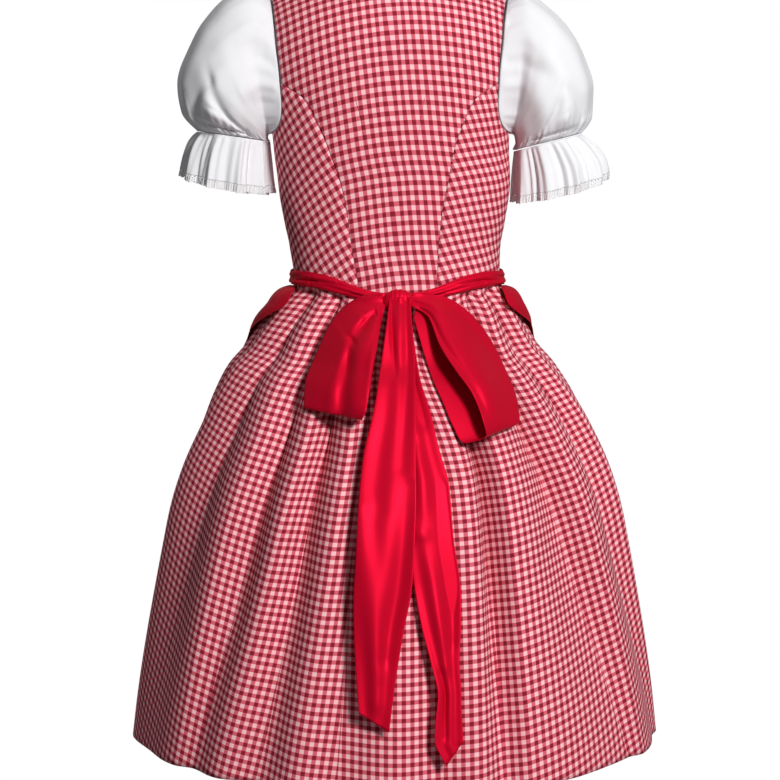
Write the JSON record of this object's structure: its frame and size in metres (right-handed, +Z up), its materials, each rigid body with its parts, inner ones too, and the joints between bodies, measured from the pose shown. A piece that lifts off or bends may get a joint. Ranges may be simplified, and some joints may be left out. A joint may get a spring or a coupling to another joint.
{
  "type": "dirndl dress with blouse and apron",
  "caption": "Worn-form dirndl: gingham bodice and pleated skirt, white blouse with puff sleeves, red satin apron tied in a bow at the back.",
  "frame": {"origin": "midway between the shoulders at the height of the neck's base, where the wearer carries it", "axes": "+Z up, -Y towards the garment's front, +X towards the wearer's left"},
  "size_m": [0.6883, 0.577, 0.9982],
  "materials": {
    "gingham": "red and white gingham cotton",
    "cotton": "white blouse cotton",
    "lace": "white lace edging",
    "satin": "red satin",
    "button": "horn-like"
  },
  "bodies": {
    "root": {"bodice_back": "gingham", "bodice_side_back_left": "gingham", "bodice_side_back_right": "gingham", "bodice_side_front_left": "gingham", "bodice_side_front_right": "gingham", "bodice_front_left": "gingham", "bodice_front_right": "gingham", "skirt_front_right": "gingham", "skirt_back_right": "gingham", "skirt_back_left": "gingham", "skirt_front_left": "gingham", "blouse_back": "cotton", "blouse_front": "cotton", "sleeve_left": "cotton", "sleeve_right": "cotton", "cuff_frill_left": "cotton", "cuff_frill_right": "cotton", "cuff_lace_left": "lace", "cuff_lace_right": "lace", "apron_panel": "satin", "apron_waistband": "satin", "tie_left": "satin", "tie_right": "satin", "bow_knot": "satin", "bow_loop_left": "satin", "bow_loop_right": "satin", "bow_tail_left": "satin", "bow_tail_right": "satin", "button_1": "button", "button_2": "button", "button_3": "button", "button_4": "button", "button_5": "button", "button_6": "button"}
  },
  "joints": []
}
